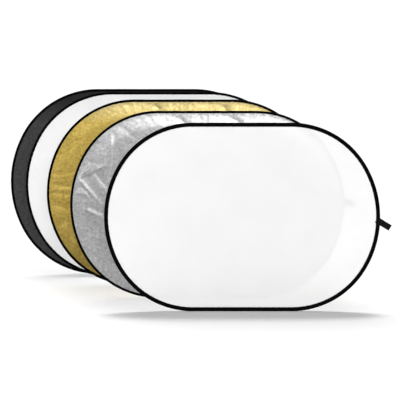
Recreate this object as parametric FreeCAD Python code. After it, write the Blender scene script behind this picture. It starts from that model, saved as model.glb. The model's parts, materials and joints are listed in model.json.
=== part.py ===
import FreeCAD, Part
import math
import os
from FreeCAD import Vector

# Collapsible oval reflector set: five sprung discs that stand one behind another on their lower edges,
# each further back and further left than the one in front.
# Row frame: origin at the middle of the front disc's standing edge, +X along the discs' long axis,
# +Y from the front disc towards the rear ones, +Z up. Millimetres.

# ---- driving dimensions ----
DISC_WIDTH = 889.0
DISC_HEIGHT = 610.0
END_RADIUS = 331.0          # the flatter arc in the middle of each end
END_HALF_ANGLE = 30.0       # half of that arc, in degrees
FOLD_LINE_X = 255.0         # where each wing folds, either side of the centre
FOLD_GAP = 0.3              # a wing and the centre each end this far from that line

# Each disc's step (x, y) from the one in front of it.
DISC_STEP = {
    "front": (0.0, 0.0),
    "silver": (-112.0, 385.0),
    "gold": (-79.0, 371.0),
    "white": (-71.0, 250.0),
    "black": (-50.0, 99.0),
}
RIM_WIDTH = {"front": 13.0, "silver": 8.0, "gold": 8.0, "white": 8.0, "black": 8.0}

# Edge binding: a tape folded round the spring hoop and sewn through the fabric.
RIM_THICKNESS = 7.6
RIM_CORNER = 0.6
TAPE_THICKNESS = 0.8
CHANNEL_DEPTH = 2.0         # radial room for the hoop and its ferrule
SLOPE_START = 3.0           # where the two flaps of tape begin to close on the fabric
SLOPE_END = 5.2
FLAP_HALF = 1.0             # half thickness where both flaps lie on the fabric

# Spring hoop: a flat steel band, closed by a crimped ferrule.
HOOP_WIDTH = 4.8
HOOP_THICKNESS = 0.8
HOOP_BUTT_GAP = 0.4
FERRULE_LENGTH = 26.0
FERRULE_WALL = 0.4
FERRULE_CLEARANCE = 0.05

FABRIC_THICKNESS = 0.4
FABRIC_CLEARANCE = 0.05
FABRIC_EDGE_INSET = 3.3     # the fabric's cut edge, hidden between the flaps

# Pull tab: webbing folded in two, its legs sewn either side of the rim and its tail free.
TAB_WIDTH = 20.0
WEBBING = 1.2
TAB_DROOP = {"front": 31.0, "silver": 15.0, "gold": 18.0, "white": 16.0, "black": 20.0}
TAB_HEIGHT = {"front": 289.0, "silver": 315.0, "gold": 309.0, "white": 305.0, "black": 311.0}
TAB_FLAT_END = 7.0          # beyond the rim's edge, the legs run flat this far
TAB_CLOSE_END = 16.0        # and have closed on each other by here
TAB_HINGE = 17.6
TAB_LENGTH = 38.0
TAB_CLEARANCE = 0.05
LEG_BEND_LAG = 0.5          # a leg's outer face turns in this much further out than its inner one

CUTTER_MARGIN = 10.0        # how far the cutting boxes reach past a disc

HALF_HEIGHT = DISC_HEIGHT / 2
HALF_WIDTH = DISC_WIDTH / 2
SIN_END = math.sin(math.radians(END_HALF_ANGLE))
COS_END = math.cos(math.radians(END_HALF_ANGLE))
CORNER_RADIUS = (HALF_HEIGHT - END_RADIUS * SIN_END) / (1 - SIN_END)
END_CENTRE_X = HALF_WIDTH - END_RADIUS
CORNER_CENTRE_X = END_CENTRE_X + (END_RADIUS - CORNER_RADIUS) * COS_END
CORNER_CENTRE_Z = (END_RADIUS - CORNER_RADIUS) * SIN_END
ACROSS = Vector(0, 1, 0)


def disc_places():
    """Each disc's offset from the front one, counted back step by step."""
    places, at = {}, Vector(0, 0, 0)
    for disc, (dx, dy) in DISC_STEP.items():
        at = at + Vector(dx, dy, 0)
        places[disc] = at
    return places


def outward(angle):
    """Unit vector in the disc's plane, angle in degrees clockwise from straight up."""
    a = math.radians(angle)
    return Vector(math.sin(a), 0, math.cos(a))


def outline_arcs():
    """The outline's six arcs, clockwise from the top right: centre, radius, first and last angle."""
    first, last = 90 - END_HALF_ANGLE, 90 + END_HALF_ANGLE
    mid = HALF_HEIGHT
    return [
        (Vector(CORNER_CENTRE_X, 0, mid + CORNER_CENTRE_Z), CORNER_RADIUS, 0, first),
        (Vector(END_CENTRE_X, 0, mid), END_RADIUS, first, last),
        (Vector(CORNER_CENTRE_X, 0, mid - CORNER_CENTRE_Z), CORNER_RADIUS, last, 180),
        (Vector(-CORNER_CENTRE_X, 0, mid - CORNER_CENTRE_Z), CORNER_RADIUS, 180, 180 + first),
        (Vector(-END_CENTRE_X, 0, mid), END_RADIUS, 180 + first, 180 + last),
        (Vector(-CORNER_CENTRE_X, 0, mid + CORNER_CENTRE_Z), CORNER_RADIUS, 180 + last, 360),
    ]


def section_face(points, edge_point, angle):
    """A section given as (inset from the edge, y) points, stood up at a point of the outline."""
    n = outward(angle)
    corners = [edge_point - n * inset + ACROSS * y for inset, y in points]
    return Part.Face(Part.makePolygon(corners + corners[:1]))


def ring(points):
    """Sweeps a section all the way round the outline: arcs revolved, straight runs extruded."""
    pieces = []
    for centre, radius, first, last in outline_arcs():
        face = section_face(points, centre + outward(first) * radius, first)
        pieces.append(face.revolve(centre, ACROSS, last - first))
    for angle, side in ((0, 1), (180, -1)):
        start = Vector(-side * CORNER_CENTRE_X, 0, HALF_HEIGHT + side * HALF_HEIGHT)
        face = section_face(points, start, angle)
        pieces.append(face.extrude(Vector(side * 2 * CORNER_CENTRE_X, 0, 0)))
    whole = pieces[0].multiFuse(pieces[1:]).removeSplitter()
    return whole.Solids[0]


def plate(inset, thickness):
    """A flat plate inside the outline, its edge a fixed distance in from it."""
    edges = []
    for centre, radius, first, last in outline_arcs():
        at = [centre + outward(a) * (radius - inset) for a in (first, (first + last) / 2, last)]
        edges.append(Part.Arc(*at).toShape())
    for angle, side in ((0, 1), (180, -1)):
        z = HALF_HEIGHT + side * (HALF_HEIGHT - inset)
        ends = [Vector(-CORNER_CENTRE_X, 0, z), Vector(CORNER_CENTRE_X, 0, z)]
        edges.append(Part.LineSegment(*ends).toShape())
    wire = Part.Wire(Part.__sortEdges__(edges))
    return Part.Face(wire).extrude(ACROSS * thickness).translate(ACROSS * (-thickness / 2))


def binding_section(width):
    """The folded tape: closed at the outer edge, a channel for the hoop, and a slot for the fabric."""
    half = RIM_THICKNESS / 2
    channel_half = half - TAPE_THICKNESS
    channel_end = TAPE_THICKNESS + CHANNEL_DEPTH
    slot = FABRIC_THICKNESS / 2 + FABRIC_CLEARANCE
    upper = [
        (TAPE_THICKNESS, channel_half),
        (channel_end, channel_half),
        (channel_end, slot),
        (width, slot),
        (width, FLAP_HALF),
        (SLOPE_END, FLAP_HALF),
        (SLOPE_START, half),
        (RIM_CORNER, half),
        (0.0, half - RIM_CORNER),
    ]
    return upper + [(inset, -y) for inset, y in reversed(upper)]


def band_section(thickness, width):
    """A rectangle in the middle of the channel."""
    mid = TAPE_THICKNESS + CHANNEL_DEPTH / 2
    a, b, h = mid - thickness / 2, mid + thickness / 2, width / 2
    return [(a, -h), (b, -h), (b, h), (a, h)]


def slab(x_low, x_high, z_high=DISC_HEIGHT + CUTTER_MARGIN):
    """A box between two x values, from under the disc up to z_high."""
    corner = Vector(x_low, -RIM_THICKNESS, -CUTTER_MARGIN)
    return Part.makeBox(x_high - x_low, 2 * RIM_THICKNESS, z_high + CUTTER_MARGIN, corner)


def in_three(whole):
    """Left wing, centre and right wing of a piece that runs all the way round."""
    far = HALF_WIDTH + CUTTER_MARGIN
    wing_from = FOLD_LINE_X + FOLD_GAP
    centre_to = FOLD_LINE_X - FOLD_GAP
    return {
        "left": whole.common(slab(-far, -wing_from)),
        "centre": whole.common(slab(-centre_to, centre_to)),
        "right": whole.common(slab(wing_from, far)),
    }


def hoop_parts():
    """The steel band in three, its two ends butting in the middle of the bottom run."""
    parts = in_three(ring(band_section(HOOP_THICKNESS, HOOP_WIDTH)))
    butt = slab(-HOOP_BUTT_GAP / 2, HOOP_BUTT_GAP / 2, z_high=HALF_HEIGHT)
    parts["centre"] = parts["centre"].cut(butt)
    return parts


def ferrule_block(width, thickness):
    """A block of the ferrule's length, centred on the hoop's bottom run."""
    low = TAPE_THICKNESS + CHANNEL_DEPTH / 2 - thickness / 2
    corner = Vector(-FERRULE_LENGTH / 2, -width / 2, low)
    return Part.makeBox(FERRULE_LENGTH, width, thickness, corner)


def ferrule():
    """The crimped sleeve over the hoop's butt joint."""
    bore_width = HOOP_WIDTH + 2 * FERRULE_CLEARANCE
    bore_thickness = HOOP_THICKNESS + 2 * FERRULE_CLEARANCE
    bore = ferrule_block(bore_width, bore_thickness)
    return ferrule_block(bore_width + 2 * FERRULE_WALL, bore_thickness + 2 * FERRULE_WALL).cut(bore)


def tab_root(disc):
    """Where the tab leaves the rim: a point on the right end arc, and the strip's own directions."""
    z = TAB_HEIGHT[disc] - HALF_HEIGHT
    x = END_CENTRE_X + math.sqrt(END_RADIUS**2 - z**2)
    along = outward(90 + TAB_DROOP[disc])
    return Vector(x, 0, TAB_HEIGHT[disc]), along, outward(TAB_DROOP[disc])


def strip_solid(disc, points):
    """Extrudes an (along, y) profile across the tab's width, in the tab's own tilted frame."""
    root, along, side = tab_root(disc)
    corners = [root + along * u + ACROSS * y - side * (TAB_WIDTH / 2) for u, y in points]
    return Part.Face(Part.makePolygon(corners + corners[:1])).extrude(side * TAB_WIDTH)


def tab_legs(disc):
    """The two sewn legs, which close on each other beyond the rim."""
    inner = RIM_THICKNESS / 2 + TAB_CLEARANCE
    start = -RIM_WIDTH[disc]
    legs = []
    for side in (1, -1):
        points = [
            (start, inner),
            (TAB_FLAT_END, inner),
            (TAB_CLOSE_END, 0.0),
            (TAB_CLOSE_END, WEBBING),
            (TAB_FLAT_END + LEG_BEND_LAG, inner + WEBBING),
            (start, inner + WEBBING),
        ]
        legs.append(strip_solid(disc, [(u, side * y) for u, y in points]))
    return legs[0].fuse(legs[1]).removeSplitter()


def tab_tail(disc):
    """The free tail, two layers thick, with a round nose on the line it flexes about."""
    root, along, side = tab_root(disc)
    flat = strip_solid(
        disc,
        [(TAB_HINGE, -WEBBING), (TAB_LENGTH, -WEBBING), (TAB_LENGTH, WEBBING), (TAB_HINGE, WEBBING)],
    )
    nose_at = root + along * TAB_HINGE - side * (TAB_WIDTH / 2)
    nose = Part.makeCylinder(WEBBING, TAB_WIDTH, nose_at, side)
    return flat.fuse(nose).removeSplitter()


def build():
    os.makedirs("parts", exist_ok=True)
    hoops = hoop_parts()
    fabrics = in_three(plate(FABRIC_EDGE_INSET, FABRIC_THICKNESS))
    bindings = {w: in_three(ring(binding_section(w))) for w in sorted(set(RIM_WIDTH.values()))}
    for disc, place in disc_places().items():
        nodes = {f"{disc}_ferrule": ferrule()}
        for where in ("left", "centre", "right"):
            nodes[f"{disc}_spring_hoop_{where}"] = hoops[where]
            nodes[f"{disc}_fabric_{where}"] = fabrics[where]
            nodes[f"{disc}_edge_binding_{where}"] = bindings[RIM_WIDTH[disc]][where]
        nodes[f"{disc}_tab_legs"] = tab_legs(disc)
        nodes[f"{disc}_tab_tail"] = tab_tail(disc)
        for name, shape in nodes.items():
            placed = shape.copy()
            placed.translate(place)
            if not placed.isValid() or placed.Volume <= 0:
                raise ValueError(f"{name} is not a sound solid")
            placed.exportStep(f"parts/{name}.step")


build()
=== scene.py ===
import bpy
import json
import math
import numpy as np
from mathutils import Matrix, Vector

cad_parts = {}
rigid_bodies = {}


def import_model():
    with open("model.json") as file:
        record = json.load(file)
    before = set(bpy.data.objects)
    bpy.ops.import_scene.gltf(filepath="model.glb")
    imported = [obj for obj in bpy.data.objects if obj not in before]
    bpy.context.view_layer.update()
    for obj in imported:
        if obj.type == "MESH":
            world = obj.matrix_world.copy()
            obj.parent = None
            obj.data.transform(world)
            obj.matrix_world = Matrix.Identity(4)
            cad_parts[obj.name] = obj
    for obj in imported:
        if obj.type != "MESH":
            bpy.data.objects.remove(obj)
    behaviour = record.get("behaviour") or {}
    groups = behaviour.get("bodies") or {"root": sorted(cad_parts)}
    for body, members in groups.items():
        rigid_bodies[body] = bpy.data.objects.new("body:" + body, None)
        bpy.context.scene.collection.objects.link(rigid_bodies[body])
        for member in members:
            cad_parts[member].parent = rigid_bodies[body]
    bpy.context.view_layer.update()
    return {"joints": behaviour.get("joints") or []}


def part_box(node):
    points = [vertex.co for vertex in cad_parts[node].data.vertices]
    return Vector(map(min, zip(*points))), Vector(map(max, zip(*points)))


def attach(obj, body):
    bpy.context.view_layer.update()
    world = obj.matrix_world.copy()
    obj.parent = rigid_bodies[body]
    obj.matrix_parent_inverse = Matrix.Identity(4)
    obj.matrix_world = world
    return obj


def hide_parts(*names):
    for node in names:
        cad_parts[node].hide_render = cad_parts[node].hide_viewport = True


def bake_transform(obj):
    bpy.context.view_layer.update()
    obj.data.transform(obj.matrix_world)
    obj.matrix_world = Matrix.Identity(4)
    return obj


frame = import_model()

# Looks for the five sprung reflector discs. Metres, in the row frame; lengths below are in millimetres times MM.
# Each disc's fabric, edge binding, stitching and spring hoop is made in a left and a right half that meet on the
# disc's middle line, each half spanning one of the disc's fold joints. "Local" points are (x, z) from the disc's
# centre.
MM = 0.001
DISCS = ["front", "silver", "gold", "white", "black"]
SIDES = {"left": -1, "right": 1}
RIM_WIDTH = {"front": 13 * MM, "silver": 8 * MM, "gold": 8 * MM, "white": 8 * MM, "black": 8 * MM}
STITCH_ROWS = {"front": [6.9 * MM, 11.6 * MM], "silver": [6.7 * MM], "gold": [6.7 * MM],
               "white": [6.7 * MM], "black": [6.7 * MM]}
END_RADIUS = 331 * MM        # of the flat arc at each end, which spans END_HALF either side of the middle
END_HALF = math.radians(30)
CORNER_SPAN = math.radians(60)
TAPE = 0.7 * MM              # thickness of the binding tape
BEAD_HALF = 3.8 * MM         # the tape's half depth where it wraps the hoop
FLAP_HALF = 1.0 * MM         # and where its flaps are sewn to the fabric
FLAP_FROM = 5.9 * MM         # from the outline to where the flaps begin
PUCKER_HEIGHT = 0.14 * MM    # of the flaps between their stitches
FABRIC_INSET = 3.3 * MM      # from the outline to the fabric's cut edge
FABRIC_HALF = 0.2 * MM
THREAD_RADIUS = 0.27 * MM
RIM_STITCH_PITCH = 4.6 * MM
RIM_STITCH_LENGTH = 3.5 * MM
TAB_STITCH_PITCH = 2.7 * MM
TAB_STITCH_LENGTH = 2.1 * MM
TAB_WIDTH = 20 * MM
TAB_LENGTH = 38 * MM
TAB_HINGE = 17.6 * MM        # from the rim's edge to the line where the tab flexes
TAB_CLOSES = (5.5 * MM, 16.5 * MM)   # where its two legs come together
WEBBING = 1.2 * MM           # thickness of the tab's strap

# ---- the outline, read from the CAD boxes ----
low_left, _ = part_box("front_edge_binding_left")
_, high_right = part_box("front_edge_binding_right")
HALF_W = (high_right.x - low_left.x) / 2
low_mid, high_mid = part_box("front_edge_binding_centre")
HALF_H = (high_mid.z - low_mid.z) / 2
CORNER_R = (HALF_H - END_RADIUS * math.sin(END_HALF)) / (1 - math.sin(END_HALF))
END_CX = HALF_W - END_RADIUS
CORNER_CX = END_CX + (END_RADIUS - CORNER_R) * math.cos(END_HALF)
CORNER_CZ = (END_RADIUS - CORNER_R) * math.sin(END_HALF)
ARC_FROM = CORNER_CX         # distances down the outline from the top middle: to the corner arc, then to the end arc
END_FROM = ARC_FROM + CORNER_R * CORNER_SPAN
HALF_ROUND = 2 * (END_FROM + END_RADIUS * END_HALF)


def centre_of(disc):
    """The middle of a disc, from the box of its binding's centre part."""
    low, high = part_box(f"{disc}_edge_binding_centre")
    return (low + high) / 2


CENTRE = {disc: centre_of(disc) for disc in DISCS}
JOINT = {j["name"]: j for j in frame["joints"]}


def on_outline(s):
    """Local point and outward normal at distance s down the right half, from top middle to bottom middle."""
    s = np.asarray(s, float)
    t = np.minimum(s, HALF_ROUND - s)
    corner = (t - ARC_FROM) / CORNER_R
    end = CORNER_SPAN + (t - END_FROM) / END_RADIUS
    a = np.where(t < ARC_FROM, 0.0, np.where(t < END_FROM, corner, end))
    x = np.where(t < END_FROM, CORNER_CX + CORNER_R * np.sin(a), END_CX + END_RADIUS * np.sin(a))
    z = np.where(t < END_FROM, CORNER_CZ + CORNER_R * np.cos(a), END_RADIUS * np.cos(a))
    x = np.where(t < ARC_FROM, t, x)
    up = np.where(s <= HALF_ROUND / 2, 1.0, -1.0)
    return x, z * up, np.sin(a), np.cos(a) * up


def inset_at(x, z):
    """How far local points lie inside the outline."""
    x, z = np.abs(x), np.abs(z)
    end = END_RADIUS - np.hypot(x - END_CX, z)
    corner = CORNER_R - np.hypot(x - CORNER_CX, z - CORNER_CZ)
    at_end = z <= (x - END_CX) * math.tan(END_HALF)
    return np.where(at_end, end, np.where(x > CORNER_CX, corner, HALF_H - z))


def ease(x, a, b):
    """0 below a, 1 above b, and smooth between."""
    t = np.clip((x - a) / (b - a), 0, 1)
    return t * t * (3 - 2 * t)


def ripple(seed, low, high, count):
    """A smooth random function of one variable, within about -1 to 1, with wavelengths from low to high."""
    rng = np.random.default_rng(seed)
    waves = 2 * np.pi / rng.uniform(low, high, count)
    phases = rng.uniform(0, 2 * np.pi, count)

    def value(s):
        s = np.asarray(s, float)
        return np.cos(s[..., None] * waves + phases).sum(-1) / math.sqrt(count)

    return value


# ---- meshes ----
def make_mesh(name, points, faces, uv=None, normals=None, smooth_angle=50):
    """An object from points and faces, turned so that its faces look outwards."""
    points = np.asarray(points, float)
    middle = points.mean(0)
    volume = 0.0
    for count in (3, 4):
        group = np.array([f for f in faces if len(f) == count], int)
        for k in range(count - 2):
            if len(group):
                a, b, c = (points[group[:, i]] - middle for i in (0, k + 1, k + 2))
                volume += np.einsum("ij,ij->i", a, np.cross(b, c)).sum()
    if volume < 0:
        faces = [tuple(reversed(f)) for f in faces]
    mesh = bpy.data.meshes.new(name)
    mesh.from_pydata(points.tolist(), [], faces)
    mesh.polygons.foreach_set("use_smooth", np.ones(len(mesh.polygons), bool))
    if uv is not None:
        corners = np.zeros(len(mesh.loops), int)
        mesh.loops.foreach_get("vertex_index", corners)
        layer = mesh.uv_layers.new(name="UVMap")
        layer.data.foreach_set("uv", np.asarray(uv, float)[corners].astype(np.float32).ravel())
    if normals is not None:
        mesh.normals_split_custom_set_from_vertices(np.asarray(normals, float).tolist())
    else:
        mesh.set_sharp_from_angle(angle=math.radians(smooth_angle))
    obj = bpy.data.objects.new(name, mesh)
    bpy.context.scene.collection.objects.link(obj)
    return obj


def tube_faces(stations, around):
    """Quads of a closed section swept through its stations, with both ends closed by strips of quads."""
    faces = []
    for i in range(stations - 1):
        for j in range(around):
            k = (j + 1) % around
            faces.append((i * around + j, i * around + k, (i + 1) * around + k, (i + 1) * around + j))
    last = (stations - 1) * around
    for j in range(around // 2 - 1):
        a, b, c, d = j, j + 1, around - 2 - j, around - 1 - j
        faces.append((d, c, b, a))
        faces.append((last + a, last + b, last + c, last + d))
    return faces


def placed(disc, side, x, y, z):
    """Row-frame points from local ones of the right half, mirrored for the left half."""
    c = CENTRE[disc]
    return np.stack([c.x + side * np.asarray(x), c.y + np.asarray(y), c.z + np.asarray(z)], -1)


def bend_with(obj):
    """Bakes the half's placement into its mesh."""
    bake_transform(obj)


# One stitch: (along, across, up) in units of its length and radius, five-sided, thinner at its ends and bowed.
CAPSULE = [(-0.5, 0.0, -0.5)]
for along, size in ((-0.36, 0.8), (0.0, 1.0), (0.36, 0.8)):
    for k in range(5):
        a = 2 * math.pi * k / 5
        CAPSULE.append((along, size * math.cos(a), size * math.sin(a) - 1.6 * abs(along)))
CAPSULE.append((0.5, 0.0, -0.5))
CAPSULE = np.array(CAPSULE)
CAPSULE_FACES = []
for k in range(5):
    m = (k + 1) % 5
    CAPSULE_FACES.append((0, 1 + m, 1 + k))
    CAPSULE_FACES.append((16, 11 + k, 11 + m))
    CAPSULE_FACES += [(r + k, r + m, r + 5 + m, r + 5 + k) for r in (1, 6)]


def stitches(name, centres, runs, ups, length, radius):
    """A row of thread stitches as small closed capsules: each lies along its run and bows up off the cloth."""
    centres, runs, ups = (np.asarray(a, float) for a in (centres, runs, ups))
    sides = np.cross(runs, ups)
    t = CAPSULE
    points = (centres[:, None] + runs[:, None] * (t[:, :1] * length)
              + sides[:, None] * (t[:, 1:2] * radius) + ups[:, None] * (t[:, 2:] * radius))
    faces = [tuple(i * len(t) + v for v in f) for i in range(len(centres)) for f in CAPSULE_FACES]
    return make_mesh(name, points.reshape(-1, 3), faces, smooth_angle=80)


# ---- edge binding: one tape folded round the hoop, puckered by its stitching ----
def tape_section(width):
    """Outer face of the folded tape as (inset, y), from the front flap's edge to the rear one's; then the inner."""
    flap = [(r, FLAP_HALF) for r in np.linspace(width, FLAP_FROM, 6 if width > 10 * MM else 4)]
    bead = [(5.2, 1.12), (4.5, 1.85), (3.9, 2.75), (3.3, 3.4), (2.5, 3.76), (1.6, 3.8),
            (0.85, 3.66), (0.35, 3.2), (0.08, 2.4), (0.0, 1.2)]
    front = flap + [(r * MM, y * MM) for r, y in bead]
    outer = np.array([(r, -y) for r, y in front] + [(0.0, 0.0)] + list(reversed(front)))
    run = np.gradient(outer, axis=0)
    run /= np.linalg.norm(run, axis=1)[:, None]
    inner = outer + np.stack([-run[:, 1], run[:, 0]], -1) * -TAPE
    clear_of_fabric = FABRIC_HALF + 0.07 * MM
    keep = np.abs(outer[:, 1]) > 0.9 * FLAP_HALF
    inner[keep, 1] = np.sign(outer[keep, 1]) * np.maximum(np.abs(inner[keep, 1]), clear_of_fabric)
    return outer, inner


FERRULE_REACH = 15 * MM      # the bead is a little thicker this far either side of the ferrule's middle
PUCKER = {d: [ripple(31 + 7 * i + k, 9 * MM, 24 * MM, 6) for k in range(2)] for i, d in enumerate(DISCS)}
SAG = {d: ripple(97 + i, 60 * MM, 260 * MM, 5) for i, d in enumerate(DISCS)}


def flap_lift(disc, side, s, front):
    """How far the stitched flap stands up between its stitches."""
    height = PUCKER[disc][0 if front else 1](np.asarray(s) * side)
    return PUCKER_HEIGHT * np.clip(0.6 + height, 0, 2)


def binding(disc, where):
    """Half of the edge binding: the folded tape swept down the outline, with a ragged edge and soft puckers."""
    side = SIDES[where]
    outer, inner = tape_section(RIM_WIDTH[disc])
    loop = np.concatenate([outer, inner[::-1]])
    count = int(HALF_ROUND / ((4.0 if disc == "front" else 5.0) * MM))
    s = np.linspace(0, HALF_ROUND, count)
    x, z, nx, nz = (a[:, None] for a in on_outline(s))
    r = loop[None, :, 0] + np.zeros((count, 1))
    y = loop[None, :, 1] + np.zeros((count, 1))
    on_flap = ease(r, 4.5 * MM, 6.5 * MM)
    for front, sign in ((True, -1), (False, 1)):
        lift = flap_lift(disc, side, s, front)[:, None]
        y = np.where(np.sign(loop[None, :, 1]) == sign, y + sign * lift * on_flap, y)
    ragged = 0.25 * MM * PUCKER[disc][0](s * side + 0.7)[:, None]
    sagging = 0.12 * MM * SAG[disc](s * side)[:, None]
    r = r + ragged * ease(r, RIM_WIDTH[disc] - 1.5 * MM, RIM_WIDTH[disc])
    r = r + sagging * (1 - on_flap)
    over_ferrule = np.exp(-((x / FERRULE_REACH) ** 4)) * (z < 0)
    y = y * (1 + 0.05 * over_ferrule * (1 - on_flap))
    points = placed(disc, side, x - nx * r, y, z - nz * r)
    span = np.concatenate([[0], np.cumsum(np.linalg.norm(np.diff(loop, axis=0), axis=1))])
    uv = np.stack([np.broadcast_to(side * s[:, None], r.shape), np.broadcast_to(span, r.shape)], -1)
    faces = tube_faces(count, len(loop))
    obj = make_mesh(f"{disc}_edge_binding_{where}_half", points.reshape(-1, 3), faces, uv.reshape(-1, 2))
    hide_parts(f"{disc}_edge_binding_{where}", f"{disc}_edge_binding_centre")
    bend_with(obj)
    return obj


def binding_stitching(disc, where):
    """The seams through the binding's flaps, on its front and its rear."""
    side = SIDES[where]
    count = int(HALF_ROUND / RIM_STITCH_PITCH)
    s = (np.arange(count) + 0.5) * (HALF_ROUND / count)
    x, z, nx, nz = on_outline(s)
    centres, runs, ups = [], [], []
    for row in STITCH_ROWS[disc]:
        for front, sign in ((True, -1), (False, 1)):
            y = sign * (FLAP_HALF + flap_lift(disc, side, s, front) * 0.8 + 0.12 * MM)
            centres.append(placed(disc, side, x - nx * row, y, z - nz * row))
            runs.append(np.stack([side * nz, np.zeros_like(s), -nx], -1))
            ups.append(np.tile([0.0, float(sign), 0.0], (len(s), 1)))
    obj = stitches(f"{disc}_stitching_{where}_half", np.concatenate(centres), np.concatenate(runs),
                   np.concatenate(ups), RIM_STITCH_LENGTH, THREAD_RADIUS)
    bend_with(obj)
    return obj


# ---- spring hoop and ferrule ----
HOOP_SECTION = [(1.42, -2.25), (1.42, 2.25), (1.5, 2.4), (1.8, 2.42), (2.1, 2.4), (2.18, 2.25),
                (2.18, -2.25), (2.1, -2.4), (1.8, -2.42), (1.5, -2.4)]     # (inset, y) in mm
HOOP_GAP = 0.2 * MM          # half the gap at the butt joint


def hoop(disc, where):
    """Half of the steel band, from the top of the disc to its butt joint at the bottom."""
    side = SIDES[where]
    loop = np.array(HOOP_SECTION) * MM
    s = np.linspace(0, HALF_ROUND - HOOP_GAP, int(HALF_ROUND / (6 * MM)))
    x, z, nx, nz = (a[:, None] for a in on_outline(s))
    points = placed(disc, side, x - nx * loop[:, 0], loop[:, 1] + 0 * x, z - nz * loop[:, 0])
    obj = make_mesh(f"{disc}_spring_hoop_{where}_half", points.reshape(-1, 3), tube_faces(len(s), len(loop)))
    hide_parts(f"{disc}_spring_hoop_{where}", f"{disc}_spring_hoop_centre")
    bend_with(obj)
    return obj


CRIMPS = np.array([-9, -5, 5, 9]) * MM       # along the ferrule, from its middle
CRIMP_WIDTH = 0.9 * MM
FERRULE_WALL = 0.3 * MM


def ferrule(disc):
    """The sleeve over the hoop's butt joint, with two crimps either side of the middle."""
    low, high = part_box(f"{disc}_ferrule")
    c, half = (low + high) / 2, (high - low) / 2
    x = np.linspace(-half.x, half.x, 53)
    crimp = sum(np.exp(-(((x - at) / CRIMP_WIDTH) ** 2)) for at in CRIMPS)
    y = half.y - 0.12 * MM * crimp
    z = half.z - 0.1 * MM * crimp
    corners = [(1, 0.8), (0.93, 1), (-0.93, 1), (-1, 0.8), (-1, -0.8), (-0.93, -1), (0.93, -1), (1, -0.8)]
    loop = np.array(corners + corners[:1] + corners[:1] + corners[:0:-1] + corners[:1])
    count = len(loop) // 2
    wall = np.where(np.arange(len(loop)) < count, 0.0, FERRULE_WALL)
    points = np.stack([
        c.x + x[:, None] + 0 * wall,
        c.y + loop[:, 0] * (y[:, None] - wall),
        c.z + loop[:, 1] * (z[:, None] - wall),
    ], -1)
    obj = make_mesh(f"{disc}_crimped_ferrule", points.reshape(-1, 3), tube_faces(len(x), len(loop)))
    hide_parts(f"{disc}_ferrule")
    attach(obj, f"{disc}_centre")
    return obj


# ---- fabrics ----
def oval_grid(columns, rows, inset):
    """Local points of a square grid bent to fill the outline, up to a distance in from it."""
    u, v = np.meshgrid(np.linspace(-1, 1, columns + 1), np.linspace(-1, 1, rows + 1))
    px, pz = u * np.sqrt(1 - v * v / 2), v * np.sqrt(1 - u * u / 2)
    x, z, nx, nz = on_outline(np.linspace(0, HALF_ROUND, 4000))
    edge_x, edge_z = x - nx * inset, z - nz * inset
    reach, turn = np.hypot(edge_x, edge_z), np.arctan2(edge_x, edge_z)
    theta = np.arctan2(px * HALF_W, pz * HALF_H)
    out = np.hypot(px, pz) * np.interp(np.abs(theta), turn, reach)
    return out * np.sin(theta), out * np.cos(theta)


FOLD_TIP = 3.5 * MM          # folds are this round at their ridge, so that the grid can follow them


def crease(x, z, a, b, width, height, lean=0.0):
    """A sharp fold from a to b (local, in mm) that dies out at its ends; lean lets one flank run wider."""
    (ax, az), (bx, bz) = (np.array(p) * MM for p in (a, b))
    length = math.hypot(bx - ax, bz - az)
    t = ((x - ax) * (bx - ax) + (z - az) * (bz - az)) / length**2
    off = ((x - ax) * (az - bz) + (z - az) * (bx - ax)) / length
    ends = np.clip(1 - (2 * t - 1) ** 2, 0, 1)
    reach = width * MM * np.where(off > 0, 1 + lean, 1 - lean)
    return height * MM * ends * np.exp((FOLD_TIP - np.hypot(off, FOLD_TIP)) / reach)


def crumple(x, z, seed, count, low, high, height):
    """Folded foil: straight-sided ridges in many directions, bent a little so that they don't line up."""
    rng = np.random.default_rng(seed)
    total = np.zeros_like(x)
    for _ in range(count):
        turn, phase = rng.uniform(0, np.pi), rng.uniform(0, 1)
        size = rng.uniform(low, high) * MM
        bent = 0.35 * np.sin(x / (0.9 * size) + 6 * phase) + 0.35 * np.sin(z / (1.1 * size) + 4 * phase)
        t = (x * math.cos(turn) + z * math.sin(turn)) / size + phase + 0.3 * bent
        patch = ease(np.sin(x / (3.1 * size) + 9 * phase) + np.cos(z / (2.7 * size) + 5 * phase), -0.8, 1.4)
        total += size / (high * MM) * (np.hypot(t - np.floor(t) - 0.5, FOLD_TIP / size) - 0.25) * patch
    return total * height * MM / math.sqrt(count)


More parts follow.
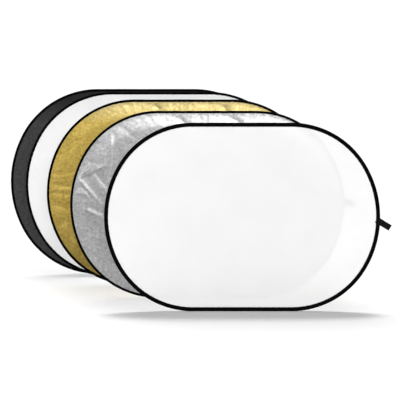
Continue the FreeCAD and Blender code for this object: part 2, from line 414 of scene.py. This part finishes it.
# Sharp folds: from and to as (x, z), half width, height towards the front (all in mm), lean.
CREASES = {
    "front": [((-250, 120), (-80, 190), 26, 0.5, 0.3), ((140, -150), (310, -60), 30, 0.5, 0.2)],
    "silver": [
        ((-313, 240), (-306, 40), 4, 4.4, -0.2),
        ((-434, 78), (-328, 130), 4, 3.6, 0.3),
        ((-430, 100), (-326, -18), 4, 4.2, -0.3),
        ((-372, 116), (-316, 44), 4, -3.2, 0.2),
        ((-414, 54), (-354, -10), 3.5, 3.0, 0.0),
        ((-404, -12), (-316, -52), 3.5, 3.6, 0.2),
        ((-405, 150), (-345, 126), 9, -3.2, 0.0),
        ((-430, 40), (-380, 30), 4, 1.8, 0.0),
        ((-372, 222), (-318, 168), 6, -1.2, 0.2),
        ((-290, 262), (-215, 205), 7, -1.2, 0.2),
        ((-430, -60), (-395, -140), 4, 2.4, 0.2),
        ((-395, -95), (-300, -130), 8, 2.0, 0.3),
        ((-372, -120), (-352, -215), 4, 2.6, 0.2),
        ((-330, -205), (-240, -180), 8, 1.8, 0.3),
        ((-120, 300), (-40, 240), 7, -3.0, 0.2),
        ((60, 296), (130, 250), 7, -3.0, -0.2),
        ((-60, 40), (120, 150), 12, 2.2, 0.3),
        ((100, -80), (300, 20), 12, 2.0, 0.3),
        ((-200, -150), (-40, -90), 12, 2.2, -0.3),
    ],
    "gold": [
        ((-450, 60), (-330, 70), 8, -2.6, 0.3),
        ((-450, 28), (-330, 16), 8, -4.2, 0.3),
        ((-450, 0), (-330, -6), 7, -3.4, -0.3),
        ((-445, -36), (-330, -62), 9, -4.6, 0.3),
        ((-440, -112), (-325, -84), 9, -4.4, 0.3),
        ((-445, -192), (-295, -152), 20, 5.5, -0.3),
        ((-400, -236), (-300, -190), 8, -3.6, 0.2),
        ((-420, 120), (-330, 180), 10, -3.0, 0.2),
        ((-350, 200), (-270, 285), 8, -2.6, 0.2),
        ((-118, 312), (-60, 256), 6, -4.2, 0.3),
        ((120, 312), (150, 250), 7, -3.0, 0.3),
        ((-60, 60), (140, 120), 14, 1.8, 0.3),
        ((60, -140), (260, -60), 14, 1.6, 0.3),
    ],
    "white": [((-300, 100), (-120, 180), 22, 0.8, 0.3), ((60, -60), (280, 40), 26, 0.7, 0.2)],
    "black": [((-340, 60), (-150, 150), 22, 0.8, 0.3), ((80, -120), (300, -20), 26, 0.7, 0.2)],
}
# Seed, number of ridges, their least and greatest size, their height, and how far the cloth bellies forwards inside
# its rim; sizes and heights in mm.
CRUMPLE = {
    "front": (5, 5, 120, 260, 0.6, 1.5),
    "silver": (11, 17, 22, 80, 4.2, 6.0),
    "gold": (23, 14, 28, 110, 4.2, 6.0),
    "white": (37, 6, 90, 220, 0.9, 2.0),
    "black": (41, 7, 60, 200, 1.2, 2.0),
}
# Cells across and up each fabric; the crumpled foils need the finer grid.
CELLS = {"front": (120, 84), "silver": (216, 148), "gold": (216, 148), "white": (120, 84), "black": (120, 84)}


def relief(disc, x, z):
    """How far the fabric stands off its own plane, positive towards the front (-Y)."""
    seed, count, low, high, height, belly = CRUMPLE[disc]
    inset = inset_at(x, z) - RIM_WIDTH[disc]
    free = ease(inset, 1 * MM, 26 * MM)
    y = crumple(x, z, seed, count, low, high, height)
    for a, b, width, tall, lean in CREASES[disc]:
        y = y + crease(x, z, a, b, width, tall, lean)
    y = y * free + belly * MM * ease(inset, 0, 50 * MM)
    round_about = np.arctan2(x, z)
    gathers = ripple(seed + 3, 2 * np.pi / 150, 2 * np.pi / 60, 9)(round_about)
    return y + 0.25 * MM * gathers * ease(inset, 0.5 * MM, 9 * MM) * (1 - ease(inset, 12 * MM, 55 * MM))


def fabric(disc):
    """Both halves of the fabric. They share one surface, so their shading matches where they meet."""
    columns, rows = CELLS[disc]
    x, z = oval_grid(columns, rows, FABRIC_INSET)
    y = -relief(disc, x, z)
    c = CENTRE[disc]
    sheet = np.stack([c.x + x, c.y + y, c.z + z], -1)
    normal = np.cross(np.gradient(sheet, axis=0), np.gradient(sheet, axis=1))
    normal /= np.linalg.norm(normal, axis=-1)[..., None] + 1e-12
    normal *= np.where(normal[..., 1:2] > 0, -1, 1)
    made = []
    for where, cut in (("left", slice(0, columns // 2 + 1)), ("right", slice(columns // 2, columns + 1))):
        mid, n = sheet[:, cut], normal[:, cut]
        across, up = mid.shape[1], mid.shape[0]
        offset = np.array([0, FABRIC_HALF, 0])
        points = np.concatenate([(mid - offset).reshape(-1, 3), (mid + offset).reshape(-1, 3)])
        normals = np.concatenate([n.reshape(-1, 3), -n.reshape(-1, 3)])
        local = np.stack([x[:, cut], z[:, cut]], -1).reshape(-1, 2)
        k = np.arange(across * up).reshape(up, across)
        quads = np.stack([k[:-1, :-1], k[:-1, 1:], k[1:, 1:], k[1:, :-1]], -1).reshape(-1, 4)
        ring = np.concatenate([k[0, :-1], k[:-1, -1], k[-1, :0:-1], k[:0:-1, 0]])
        back = across * up
        wall = np.stack([ring, ring + back, np.roll(ring, -1) + back, np.roll(ring, -1)], -1)
        faces = [tuple(q) for q in quads.tolist()]
        faces += [tuple(q) for q in (quads[:, ::-1] + back).tolist()]
        faces += [tuple(q) for q in wall.tolist()]
        uv = np.concatenate([local, local])
        obj = make_mesh(f"{disc}_fabric_{where}_half", points, faces, uv, normals)
        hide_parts(f"{disc}_fabric_{where}", f"{disc}_fabric_centre")
        bend_with(obj)
        made.append(obj)
    return made


# ---- pull tabs: one strap of webbing folded in two over the rim, built round the line where its free end flexes ----
def tab_frame(disc):
    """Root on the rim's edge (row frame), and the strap's directions along and across, in the disc's plane."""
    joint = JOINT[f"{disc}_tab_flex"]
    sign = -1 if disc == "black" else 1
    across = Vector(joint["axis"]) * sign
    along = Vector((across.z, 0, -across.x))
    hinge = Vector(joint["pos_m"])
    return hinge - along * TAB_HINGE, along, across


def leg_height(disc, root, along, across, u, v):
    """The strap's inner face off the disc's plane: over the flap, over the bead, then closing on the other leg."""
    x = root.x + u * along.x + v * across.x - CENTRE[disc].x
    z = root.z + u * along.z + v * across.z - CENTRE[disc].z
    inset = inset_at(x, z)
    on_flap = FLAP_HALF + 0.25 * MM
    over = on_flap + (BEAD_HALF + 0.05 * MM - on_flap) * (1 - ease(inset, 3.4 * MM, 7.6 * MM))
    return over * (1 - ease(u, *TAB_CLOSES)) + 0.04 * MM


def tab(disc):
    """The pull tab, ribbed across: both legs over the rim and the loop that they end in."""
    root, along, across = tab_frame(disc)
    start = -RIM_WIDTH[disc] - 0.5 * MM
    turn_at = TAB_LENGTH - WEBBING
    straight = np.linspace(start, turn_at, int((turn_at - start) / (0.75 * MM)))
    bend = np.linspace(0, math.pi, 9)[1:-1]
    u_mid = np.concatenate([straight, turn_at + np.sin(bend) * 0.6 * WEBBING, straight[::-1]])
    layer = np.concatenate([-np.ones(len(straight)), -np.cos(bend), np.ones(len(straight))])
    outward = np.concatenate([np.zeros(len(straight)), np.sin(bend), np.zeros(len(straight))])
    lanes = np.linspace(-1, 1, 15)
    edge = np.sqrt(1 - 0.75 * np.abs(lanes) ** 14)
    v = np.concatenate([lanes, lanes[::-1]]) * TAB_WIDTH / 2
    lift = np.concatenate([edge, -edge[::-1]]) * WEBBING / 2
    length = np.concatenate([[0], np.cumsum(np.hypot(np.diff(u_mid), np.diff(layer) * WEBBING))])
    herringbone = 2.2 * np.abs((v / (2.5 * MM)) % 2 - 1)
    rib = 0.07 * MM * np.cos(2 * math.pi * length[:, None] / (1.5 * MM) + herringbone)
    thick = lift[None, :] + np.where(np.abs(v) < TAB_WIDTH / 2 * 0.97, np.sign(lift) * rib, 0)
    inner = leg_height(disc, root, along, across, u_mid[:, None], v[None, :])
    centre = inner + WEBBING / 2
    y = layer[:, None] * (centre + thick)
    u = u_mid[:, None] + outward[:, None] * thick
    points = (np.array(root) + u[..., None] * np.array(along) + v[None, :, None] * np.array(across)
              + y[..., None] * np.array([0.0, 1.0, 0.0]))
    uv = np.stack([np.broadcast_to(length[:, None], u.shape), np.broadcast_to(v, u.shape)], -1)
    faces = tube_faces(len(u_mid), len(v))
    obj = make_mesh(f"{disc}_pull_tab", points.reshape(-1, 3), faces, uv.reshape(-1, 2), smooth_angle=60)
    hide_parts(f"{disc}_tab_legs", f"{disc}_tab_tail")
    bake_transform(obj)
    return obj


def tab_stitching(disc):
    """A sewn box with a cross in it, through both legs and the rim."""
    root, along, across = tab_frame(disc)
    low, high, side = -RIM_WIDTH[disc] + 1.2 * MM, 4.6 * MM, 7.9 * MM
    corners = [(low, -side), (high, -side), (high, side), (low, side)]
    lines = [(corners[i], corners[(i + 1) % 4]) for i in range(4)]
    lines += [(corners[0], corners[2]), (corners[1], corners[3])]
    centres, runs, ups = [], [], []
    for a, b in lines:
        a, b = np.array(a), np.array(b)
        length = np.linalg.norm(b - a)
        count = max(3, round(length / TAB_STITCH_PITCH))
        run = (b - a) / length
        for k in range(count):
            u, v = a + (b - a) * (k + 0.5) / count
            step = run * 0.5 * MM
            h0, h1 = (float(leg_height(disc, root, along, across, np.array(u + s * step[0]),
                                       np.array(v + s * step[1]))) for s in (-1, 1))
            for sign in (-1, 1):
                at = root + along * u + across * v
                at.y += sign * ((h0 + h1) / 2 + WEBBING + 0.08 * MM)
                heading = along * run[0] + across * run[1]
                heading.y = sign * (h1 - h0) / (1.0 * MM)
                heading.normalize()
                flat_side = heading.cross(Vector((0, sign, 0))).normalized()
                centres.append(at)
                runs.append(heading)
                ups.append(flat_side.cross(heading))
    obj = stitches(f"{disc}_tab_stitching", centres, runs, ups, TAB_STITCH_LENGTH, THREAD_RADIUS)
    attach(obj, f"{disc}_right_wing")
    return obj


# ---- materials ----
WAVE_PERIOD = 0.314          # a wave texture's period at scale 1


def add(tree, kind, settings=None, **sockets):
    """A node with its settings and sockets filled in; a socket given as a value is linked. _ stands for a space."""
    node = tree.nodes.new(kind)
    for key, value in (settings or {}).items():
        setattr(node, key, value)
    for key, value in sockets.items():
        socket = node.inputs[key.replace("_", " ")]
        if isinstance(value, bpy.types.NodeSocket):
            tree.links.new(value, socket)
        else:
            socket.default_value = value
    return node


def grey(level):
    return (level, level, level)


def math_node(tree, operation, a, b):
    """The result of an operation on two linked values."""
    node = tree.nodes.new("ShaderNodeMath")
    node.operation = operation
    for socket, value in zip(node.inputs, (a, b)):
        tree.links.new(value, socket)
    return node.outputs[0]


def scaled_colour(tree, colour, factor):
    """A linked colour times a linked factor."""
    node = add(tree, "ShaderNodeVectorMath", {"operation": "SCALE"}, Scale=factor)
    tree.links.new(colour, node.inputs[0])
    return node.outputs[0]


def blank(name):
    """A new material: its node tree, with the piece's UV map (metres over its cloth) and an empty output."""
    material = bpy.data.materials.new(name)
    material.use_nodes = True
    tree = material.node_tree
    tree.nodes.clear()
    uv = add(tree, "ShaderNodeUVMap", {"uv_map": "UVMap"}).outputs["UV"]
    return material, tree, uv, tree.nodes.new("ShaderNodeOutputMaterial")


def mottled(tree, uv, size, dark, light, detail=4.0, low=0.3, high=0.7):
    """A colour that drifts between two others over patches of a size in metres."""
    noise = add(tree, "ShaderNodeTexNoise", Vector=uv, Scale=1 / size, Detail=detail)
    ramp = add(tree, "ShaderNodeValToRGB", Fac=noise.outputs["Fac"])
    ramp.color_ramp.elements[0].position = low
    ramp.color_ramp.elements[0].color = (*dark, 1)
    ramp.color_ramp.elements[1].position = high
    ramp.color_ramp.elements[1].color = (*light, 1)
    return ramp.outputs["Color"]


def weave(tree, uv, pitch):
    """Over-and-under threads, as a height from 0 to 1."""
    scale = WAVE_PERIOD / pitch
    warp, weft = (add(tree, "ShaderNodeTexWave", {"bands_direction": d}, Vector=uv, Scale=scale).outputs["Fac"]
                  for d in "XY")
    return math_node(tree, "MAXIMUM", warp, weft)


def finish_with(tree, shader, out):
    """Links a shader to the material's output."""
    tree.links.new(shader.outputs[0], out.inputs["Surface"])


SEE_THROUGH = 0.29           # at each of the cloth's two faces, so about a twelfth in all


def diffuser_cloth():
    """White cloth that glows a little with the light behind it and shows a hint of the disc behind it."""
    material, tree, uv, out = blank("diffuser_fabric")
    bump = add(tree, "ShaderNodeBump", Strength=0.25, Distance=0.08 * MM,
               Height=weave(tree, uv, 0.7 * MM)).outputs[0]
    colour = mottled(tree, uv, 120 * MM, grey(0.86), grey(0.89))
    face = add(tree, "ShaderNodeBsdfPrincipled", Base_Color=colour, Roughness=0.75, Normal=bump,
               Sheen_Weight=0.15, Specular_IOR_Level=0.25)
    through = add(tree, "ShaderNodeBsdfTranslucent", Color=(*grey(0.9), 1), Normal=bump)
    clear = add(tree, "ShaderNodeBsdfTransparent", Color=(1, 1, 1, 1))
    cloth = add(tree, "ShaderNodeMixShader", Fac=0.12)
    tree.links.new(face.outputs[0], cloth.inputs[1])
    tree.links.new(through.outputs[0], cloth.inputs[2])
    whole = add(tree, "ShaderNodeMixShader", Fac=SEE_THROUGH)
    tree.links.new(cloth.outputs[0], whole.inputs[1])
    tree.links.new(clear.outputs[0], whole.inputs[2])
    finish_with(tree, whole, out)
    return material


def foil_cloth(name, dark, light, roughness, size, painted_top_highlight, painted_bottom_shading):
    """Metallised cloth: a mirror broken up by fine crinkles and a slight weave, with a painted highlight at its top.

    Its colour is scaled towards its bottom as painted shading: painted shade on the gold, painted light on the
    silver.
    """
    material, tree, uv, out = blank(name)
    fine = add(tree, "ShaderNodeTexNoise", Vector=uv, Scale=1 / (14 * MM), Detail=3.0, Roughness=0.7)
    threads = add(tree, "ShaderNodeBump", Strength=0.2, Distance=0.05 * MM,
                  Height=weave(tree, uv, 0.6 * MM)).outputs[0]
    bump = add(tree, "ShaderNodeBump", Strength=0.6, Distance=1.2 * MM, Height=fine.outputs["Fac"],
               Normal=threads).outputs[0]
    worn = add(tree, "ShaderNodeTexNoise", Vector=uv, Scale=1 / (38 * MM), Detail=5.0)
    rough = add(tree, "ShaderNodeMapRange", Value=worn.outputs["Fac"], From_Min=0.0, From_Max=1.0,
                To_Min=roughness - 0.13, To_Max=roughness + 0.15).outputs[0]
    up = add(tree, "ShaderNodeSeparateXYZ", Vector=uv).outputs["Y"]
    # Painted highlight: towards its top the foil's colour is mixed with a paler one, standing in for the bright
    # light it reflects there.
    painted_highlight_ramp = add(tree, "ShaderNodeMapRange", Value=up, From_Min=225 * MM, From_Max=295 * MM,
                 To_Min=0.0, To_Max=0.7)
    colour = add(tree, "ShaderNodeMix", {"data_type": "RGBA"}, Factor=painted_highlight_ramp.outputs[0])
    tree.links.new(mottled(tree, uv, size, dark, light), colour.inputs[6])
    colour.inputs[7].default_value = (*painted_top_highlight, 1)
    specks = add(tree, "ShaderNodeTexNoise", Vector=uv, Scale=1 / (9 * MM), Detail=3.0, Roughness=0.6)
    grain_and_painted_shading = add(tree, "ShaderNodeMapRange", Value=specks.outputs["Fac"], From_Min=0.3, From_Max=0.7,
                To_Min=0.72, To_Max=1.22).outputs[0]
    # Painted shading: the colour is scaled towards the bottom, standing in for the light that the lower foil
    # reflects: painted shade on the gold, painted light on the silver.
    painted_bottom_shading_ramp = add(tree, "ShaderNodeMapRange", Value=up, From_Min=-230 * MM, From_Max=-60 * MM,
                 To_Min=painted_bottom_shading, To_Max=1.0)
    grain_and_painted_shading = math_node(tree, "MULTIPLY", grain_and_painted_shading, painted_bottom_shading_ramp.outputs[0])
    shader = add(tree, "ShaderNodeBsdfPrincipled", Base_Color=scaled_colour(tree, colour.outputs[2], grain_and_painted_shading),
                 Metallic=1.0, Roughness=rough, Normal=bump)
    finish_with(tree, shader, out)
    return material


def plain_cloth(name, dark, light, pitch, size, sheen, shine=0.25, ribs=False, top=1.0):
    """Dull woven cloth, tape or webbing; ribs run across the piece, and a disc's top can carry painted shade."""
    material, tree, uv, out = blank(name)
    height = weave(tree, uv, pitch)
    if ribs:
        height = add(tree, "ShaderNodeTexWave", {"bands_direction": "X"}, Vector=uv, Scale=WAVE_PERIOD / pitch,
                     Distortion=0.4).outputs["Fac"]
    bump = add(tree, "ShaderNodeBump", Strength=0.6, Distance=0.1 * MM, Height=height).outputs[0]
    colour = mottled(tree, uv, size, dark, light)
    if top != 1.0:
        # Painted shade: the cloth's colour is lowered towards its top.
        up = add(tree, "ShaderNodeSeparateXYZ", Vector=uv).outputs["Y"]
        painted_top_shade = add(tree, "ShaderNodeMapRange", Value=up, From_Min=190 * MM, From_Max=270 * MM,
                     To_Min=1.0, To_Max=top)
        colour = scaled_colour(tree, colour, painted_top_shade.outputs[0])
    shader = add(tree, "ShaderNodeBsdfPrincipled", Base_Color=colour, Roughness=0.75, Normal=bump,
                 Sheen_Weight=sheen, Sheen_Roughness=0.4, Specular_IOR_Level=shine)
    finish_with(tree, shader, out)
    return material


def lining_faces(piece):
    """Gives the second material to the faces that look to the rear."""
    for face in piece.data.polygons:
        face.material_index = 1 if face.normal.y > 0.5 else 0


def simple(name, colour, roughness, metallic=0.0):
    """One even colour, for metal, thread and the studio."""
    material, tree, _, out = blank(name)
    shader = add(tree, "ShaderNodeBsdfPrincipled", Base_Color=(*colour, 1), Roughness=roughness, Metallic=metallic,
                 Specular_IOR_Level=0.2)
    finish_with(tree, shader, out)
    return material


CLOTH = {
    "front": diffuser_cloth(),
    # Each foil's last two settings are a painted highlight at its top and painted shading at its bottom.
    "silver": foil_cloth("silver_fabric", dark=(0.43, 0.43, 0.435), light=(0.53, 0.53, 0.535), roughness=0.38,
                         size=50 * MM, painted_top_highlight=grey(0.62), painted_bottom_shading=1.2),
    "gold": foil_cloth("gold_fabric", dark=(0.50, 0.355, 0.08), light=(0.60, 0.44, 0.115), roughness=0.41,
                       size=50 * MM, painted_top_highlight=(0.62, 0.54, 0.30), painted_bottom_shading=0.68),
    "white": plain_cloth("white_fabric", dark=grey(0.82), light=grey(0.88), pitch=0.6 * MM, size=120 * MM,
                         sheen=0.1),
    # The black cloth's last setting paints shade along its top.
    "black": plain_cloth("black_fabric", dark=(0.031, 0.031, 0.032), light=(0.058, 0.058, 0.059),
                         pitch=0.6 * MM, size=10 * MM, sheen=0.05, top=0.3),
}
LINING = plain_cloth("lining", dark=grey(0.74), light=grey(0.80), pitch=0.6 * MM, size=100 * MM, sheen=0.05)
TAPE_BLACK = plain_cloth("binding_tape", dark=grey(0.001), light=grey(0.002), pitch=0.9 * MM, size=20 * MM,
                         sheen=0.0, shine=0.015, ribs=True)
WEBBING_BLACK = plain_cloth("tab_webbing", dark=grey(0.002), light=grey(0.006), pitch=1.5 * MM, size=10 * MM,
                            sheen=0.01, shine=0.06, ribs=True)
THREAD = simple("thread", grey(0.003), roughness=0.5)
SPRING = simple("spring_steel", (0.45, 0.46, 0.48), roughness=0.3, metallic=1.0)
ZINC = simple("ferrule_steel", grey(0.62), roughness=0.35, metallic=1.0)
LINED = ("silver", "gold")   # the discs with a plain lining on their rear

for disc in DISCS:
    for piece in fabric(disc):
        piece.data.materials.append(CLOTH[disc])
        piece.visible_diffuse = disc != "front"      # its own glow would wash out the shadow under it
        if disc in LINED:
            piece.data.materials.append(LINING)
            lining_faces(piece)
    for where in SIDES:
        binding(disc, where).data.materials.append(TAPE_BLACK)
        binding_stitching(disc, where).data.materials.append(THREAD)
        hoop(disc, where).data.materials.append(SPRING)
    ferrule(disc).data.materials.append(ZINC)
    tab(disc).data.materials.append(WEBBING_BLACK)
    tab_stitching(disc).data.materials.append(THREAD)


# ---- floor, light and camera ----
def ground(name, x_range, y_range, z, material):
    """A level rectangle that belongs to the studio."""
    (x0, x1), (y0, y1) = x_range, y_range
    mesh = bpy.data.meshes.new(name)
    mesh.from_pydata([(x0, y0, z), (x1, y0, z), (x1, y1, z), (x0, y1, z)], [], [(0, 1, 2, 3)])
    obj = bpy.data.objects.new(name, mesh)
    bpy.context.scene.collection.objects.link(obj)
    obj.data.materials.append(material)
    return obj


ground("floor", (-30, 30), (-30, 30), 0, simple("floor_white", grey(0.9), roughness=0.9))
# A grey flag on the floor that only foil sees, so that its lower part reflects less light than its upper part.
flag = ground("flag", (-3, 2), (-3.5, 0.9), 4 * MM, simple("flag_grey", grey(0.64), roughness=0.9))
flag.visible_camera = flag.visible_diffuse = flag.visible_shadow = flag.visible_transmission = False

# The studio is brighter overhead than at the horizon.
world = bpy.data.worlds.new("studio")
world.use_nodes = True
sky = world.node_tree
direction = add(sky, "ShaderNodeTexCoord").outputs["Generated"]
height = add(sky, "ShaderNodeSeparateXYZ", Vector=direction).outputs["Z"]
glow = add(sky, "ShaderNodeMapRange", Value=height, From_Min=0.0, From_Max=0.7, To_Min=0.24, To_Max=0.30)
sky.links.new(glow.outputs[0], sky.nodes["Background"].inputs["Strength"])
sky.nodes["Background"].inputs["Color"].default_value = (1, 1, 1, 1)
bpy.context.scene.world = world


def lit_group(name, start):
    """The shown meshes whose names begin in a certain way, as a collection that lights can be limited to."""
    group = bpy.data.collections.new(name)
    for obj in list(bpy.context.scene.objects):
        if obj.type == "MESH" and obj.name.startswith(start) and not obj.hide_render:
            group.objects.link(obj)
    return group


def placed_facing(name, data, place, heading):
    """A light or camera in the scene, looking along its heading."""
    obj = bpy.data.objects.new(name, data)
    bpy.context.scene.collection.objects.link(obj)
    obj.location = place
    obj.rotation_mode = "QUATERNION"
    obj.rotation_quaternion = Vector(heading).to_track_quat("-Z", "Y")
    return obj


def overhead(name, energy, spread, heading):
    """A sun as wide as its spread in degrees."""
    data = bpy.data.lights.new(name, "SUN")
    data.energy, data.angle = energy, math.radians(spread)
    return placed_facing(name, data, (0, 0, 0), heading)


# Most of the overhead light is shadowed by the front disc alone, so that the shadow under it is the darkest. The
# light from the rear runs the rear discs' shadows into one, and the fill lights are flagged off the floor.
ALL_DISCS = lit_group("discs", tuple(f"{disc}_" for disc in DISCS))
main_light = overhead("overhead_main", 1.6, 16, (0.0, -0.42, -1.0))
main_light.light_linking.blocker_collection = lit_group("front_disc", "front_")
overhead("overhead_rear", 0.95, 32, (0.22, -1.0, -1.0))
overhead("overhead_soft", 0.7, 75, (0.05, 0.0, -1.0))


def softbox(name, place, aim, size, power, reflects_only=False):
    """An area light that either lights cloth without showing in foil, or only shows as a reflection."""
    data = bpy.data.lights.new(name, "AREA")
    data.shape, data.size, data.size_y, data.energy = "RECTANGLE", size[0], size[1], power
    lamp = placed_facing(name, data, place, Vector(aim) - Vector(place))
    lamp.visible_diffuse = not reflects_only
    lamp.visible_glossy = reflects_only
    lamp.visible_camera = False
    lamp.light_linking.receiver_collection = ALL_DISCS


AIM = (-0.15, 0.4, 0.3)
softbox("front_fill", (-1.6, -5.0, 1.7), AIM, (4.0, 1.4), 84)
softbox("upper_fill", (-0.6, -3.8, 2.8), AIM, (3.0, 1.0), 82)
softbox("low_fill", (-0.05, -0.32, 0.05), (-0.05, 0.0, 0.05), (1.3, 0.06), 0.44)
softbox("upper_card", (1.5, -3.2, 2.1), AIM, (5.0, 1.7), 128, reflects_only=True)
softbox("left_card", (-2.4, -3.2, 1.3), AIM, (0.5, 2.0), 16, reflects_only=True)

# The photo shows next to no perspective, so the lens is very long and the camera far away.
LENS = 1500.0
SENSOR = 36.0
PICTURE = 1.2875             # width seen at the front disc
ELEVATION = math.radians(6.0)
SHIFT = Vector((-0.1355, 0, 0))      # from the front disc's centre to the picture's, with RISE up the picture
RISE = 0.0547
looking = Vector((0, math.cos(ELEVATION), -math.sin(ELEVATION)))
upward = Vector((0, math.sin(ELEVATION), math.cos(ELEVATION)))
middle = CENTRE["front"] + SHIFT + upward * RISE
camera_data = bpy.data.cameras.new("camera")
camera_data.lens, camera_data.sensor_width, camera_data.clip_end = LENS, SENSOR, 300
camera = placed_facing("camera", camera_data, middle - looking * (LENS / SENSOR * PICTURE), looking)
bpy.context.scene.camera = camera
bpy.context.scene.view_settings.view_transform = "Standard"
